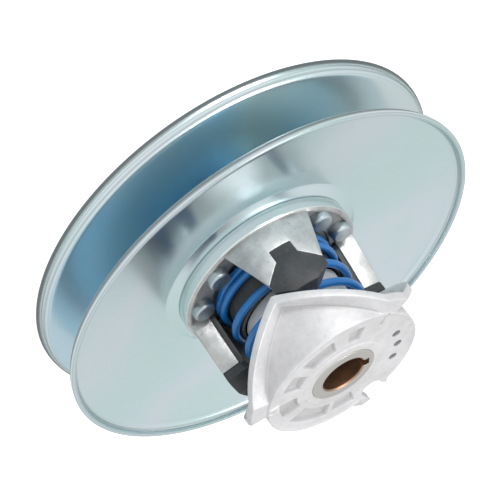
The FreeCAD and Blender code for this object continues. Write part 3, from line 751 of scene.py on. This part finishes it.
cam_angles = sorted({round(k * 0.5, 3) for k in range(720)}
                    | {round((centre + LOBE_TURN + d) % 360.0, 3) for centre in TOWER_ANGLES
                       for d in (-0.25, 0.0, 0.25)})
anchor_holes = [rod(ANCHOR_HOLE, PLATE_LOW - 3, CAM_NOSE + 2, ANCHOR_CIRCLE * math.cos(math.radians(a)),
                    ANCHOR_CIRCLE * math.sin(math.radians(a))) for a in ANCHOR_ANGLES]
notch_outline = [(NOTCH_CIRCLE + 22, -NOTCH_RADIUS), (NOTCH_CIRCLE + 22, NOTCH_RADIUS)]
notch_outline += [(NOTCH_CIRCLE + NOTCH_RADIUS * math.cos(math.radians(a)),
                   NOTCH_RADIUS * math.sin(math.radians(a))) for a in range(90, 271, 9)]
turn_notch = Matrix.Rotation(math.radians(NOTCH_ANGLE), 3, "Z")
notch = swept([[tuple(turn_notch @ Vector((x, y, z))) for x, y in notch_outline]
               for z in (PLATE_LOW - 5, CAM_NOSE + 2)], closed=False)
build("torque_cam_casting", carved(around(cam_section, cam_angles), anchor_holes + [notch]), FIXED,
      "cast_aluminium", ["torque_cam"], 38.0)


# ---------------------------------------------------------------- post

KEYWAY_MOUTH = math.degrees(math.asin(KEYWAY_HALF / BORE_RADIUS))
KEYWAY_CORNER = math.degrees(math.atan2(KEYWAY_HALF, KEYWAY_REACH))


def bore_radius(angle):
    """Inside of the keyed bore, keyway on -X."""
    turn = abs(turn_from(angle, 180.0))
    if turn >= KEYWAY_MOUTH:
        return BORE_RADIUS
    if turn > KEYWAY_CORNER:
        return KEYWAY_HALF / math.sin(math.radians(turn))
    return KEYWAY_REACH / math.cos(math.radians(turn))


def post_section(angle):
    """The wall of the hollow shaft, with a small chamfer at each mouth."""
    inner = bore_radius(angle)
    mouth = max(inner, BORE_RADIUS + 0.8)
    return rounded([(POST_RADIUS, POST_LOW, 1.0), (POST_RADIUS, POST_HIGH, 0.7), (mouth, POST_HIGH, 0.15),
                    (inner + 0.001, POST_HIGH - 0.8), (inner, POST_LOW + 0.8),
                    (mouth + 0.001, POST_LOW, 0.15)], 4)


beside_keyway = [KEYWAY_CORNER, KEYWAY_MOUTH, *np.linspace(10.0, 15.0, 21)]
post_angles = sorted({float(k) for k in range(0, 360, 2)}
                     | {180.0 + side * turn for side in (-1, 1) for turn in beside_keyway})
build("post_turned", around(post_section, post_angles), FIXED, "post_steel", ["post"])


# ---------------------------------------------------------------- floor, lights, camera

LIGHT_AIM = Vector((0.0, 0.0, 0.04))
FLOOR_SIZE, FLOOR_GLOW, FLOOR_DIM = 20.0, 0.55, 0.27
# painted contact shadow: to mirrored rays the floor is darker near the object, fading out across a ring of
# radii
MIRROR_SHADOW_RING, MIRROR_IN_SHADOW, MIRROR_FAR = (136.0, 156.0), 0.27, 0.92    # ring in millimetres
BRIGHT_AZIMUTH, BRIGHT_ELEVATION = -80, 40


def polar_place(azimuth, elevation, distance):
    """A point, in metres, seen from the origin at two angles in degrees."""
    a, e = math.radians(azimuth), math.radians(elevation)
    return Vector((math.cos(a) * math.cos(e), math.sin(a) * math.cos(e), math.sin(e))) * distance


def softbox(name, place, size, power):
    """A rectangular light that faces the object."""
    data = bpy.data.lights.new(name, "AREA")
    data.energy = power
    data.shape = "RECTANGLE"
    data.size, data.size_y = size
    lamp = bpy.data.objects.new(name, data)
    bpy.context.scene.collection.objects.link(lamp)
    lamp.location = place
    lamp.rotation_euler = (LIGHT_AIM - place).to_track_quat("-Z", "Y").to_euler()


def floor_paper():
    """White paper to the camera, dim to bounced light, and to mirrored rays darker near the object, a
    painted contact shadow.
    """
    s = Shader("floor_paper")
    mottle = s.noise(3.0, 2.0)
    s.set(Base_Color=s.ramp(mottle, (0.3, (0.90, 0.90, 0.90)), (0.7, (0.93, 0.93, 0.93))),
          Roughness=0.9, Emission_Color=(1.0, 1.0, 1.0), Emission_Strength=FLOOR_GLOW)
    bounced = s.node("ShaderNodeBsdfDiffuse")
    bounced.inputs["Color"].default_value = (FLOOR_DIM, FLOOR_DIM, FLOOR_DIM, 1.0)
    mirrored_with_shadow = s.node("ShaderNodeEmission")
    # painted contact shadow: mirrored rays see the floor darker near the object
    away, _ = s.polar()
    s.feed(mirrored_with_shadow.inputs["Strength"], s.fade(away, MIRROR_SHADOW_RING, MIRROR_IN_SHADOW, MIRROR_FAR))
    ray = s.node("ShaderNodeLightPath").outputs
    unseen = s.either(ray["Is Glossy Ray"], bounced.outputs[0], mirrored_with_shadow.outputs[0])
    shown = s.either(ray["Is Camera Ray"], unseen, s.surface.outputs[0])
    s.feed(s.tree.nodes["Material Output"].inputs["Surface"], shown)
    return s.material


def lay_floor():
    bm = bmesh.new()
    bmesh.ops.create_grid(bm, x_segments=8, y_segments=8, size=FLOOR_SIZE)
    mesh = bpy.data.meshes.new("floor")
    bm.to_mesh(mesh)
    bm.free()
    floor = bpy.data.objects.new("floor", mesh)
    bpy.context.scene.collection.objects.link(floor)
    floor.data.materials.append(floor_paper())


def studio_world():
    """A pale room, brighter over the near side and darker near the horizon; white to the camera."""
    world = bpy.data.worlds.new("studio")
    world.use_nodes = True
    tree = world.node_tree
    background = tree.nodes["Background"]
    background.inputs["Color"].default_value = (1.0, 1.0, 1.0, 1.0)

    def mapped(value, **numbers):
        made = tree.nodes.new("ShaderNodeMapRange")
        for key, number in numbers.items():
            made.inputs[key.replace("_", " ")].default_value = number
        tree.links.new(value, made.inputs["Value"])
        return made

    def combined(operation, a, b):
        made = tree.nodes.new("ShaderNodeMath")
        made.operation = operation
        tree.links.new(a, made.inputs[0])
        tree.links.new(b, made.inputs[1])
        return made.outputs[0]

    direction = tree.nodes.new("ShaderNodeTexCoord").outputs["Generated"]
    side = tree.nodes.new("ShaderNodeVectorMath")
    side.operation = "DOT_PRODUCT"
    side.inputs[1].default_value = polar_place(BRIGHT_AZIMUTH, BRIGHT_ELEVATION, 1.0)
    tree.links.new(direction, side.inputs[0])
    level = mapped(side.outputs["Value"], From_Min=-0.4, From_Max=0.7, To_Min=0.80, To_Max=1.0)
    split = tree.nodes.new("ShaderNodeSeparateXYZ")
    tree.links.new(direction, split.inputs[0])
    horizon = mapped(split.outputs["Z"], From_Min=0.02, From_Max=0.18, To_Min=0.30, To_Max=1.0)
    horizon.interpolation_type = "SMOOTHSTEP"
    dimmed = combined("MULTIPLY", level.outputs[0], horizon.outputs[0])
    seen = tree.nodes.new("ShaderNodeLightPath")
    bright = combined("MAXIMUM", dimmed, seen.outputs["Is Camera Ray"])
    tree.links.new(bright, background.inputs["Strength"])
    bpy.context.scene.world = world


lay_floor()
studio_world()
softbox("front_softbox", polar_place(-107, 6, 1.5), (0.75, 0.24), 8.8)
softbox("top_softbox", polar_place(-150, 70, 1.6), (0.7, 0.7), 5.0)

# the camera looks down on the nose side with the shaft running to the lower right of the picture
CAMERA_AZIMUTH, CAMERA_REACH, CAMERA_HEIGHT = -73.3, 0.64775, 0.3731
LOOK_AZIMUTH, LOOK_DOWN, CAMERA_ROLL = 108.2, -28.9, 142.86
SENSOR, LENS, SHIFT = 36.0, 94.38, (-0.0566, -0.0295)


def place_camera():
    data = bpy.data.cameras.new("camera")
    data.sensor_width = SENSOR
    data.lens = LENS
    data.shift_x, data.shift_y = SHIFT
    camera = bpy.data.objects.new("camera", data)
    bpy.context.scene.collection.objects.link(camera)
    forward = polar_place(LOOK_AZIMUTH, LOOK_DOWN, 1.0)
    level = forward.cross(Vector((0, 0, 1))).normalized()
    above = level.cross(forward)
    roll = math.radians(CAMERA_ROLL)
    across = level * math.cos(roll) + above * math.sin(roll)
    upright = across.cross(forward).normalized()
    spot = polar_place(CAMERA_AZIMUTH, 0.0, CAMERA_REACH) + Vector((0.0, 0.0, CAMERA_HEIGHT))
    turned = Matrix((across, upright, -forward)).transposed().to_4x4()
    camera.matrix_world = Matrix.Translation(spot) @ turned
    bpy.context.scene.camera = camera


place_camera()
bpy.context.scene.view_settings.view_transform = "Standard"
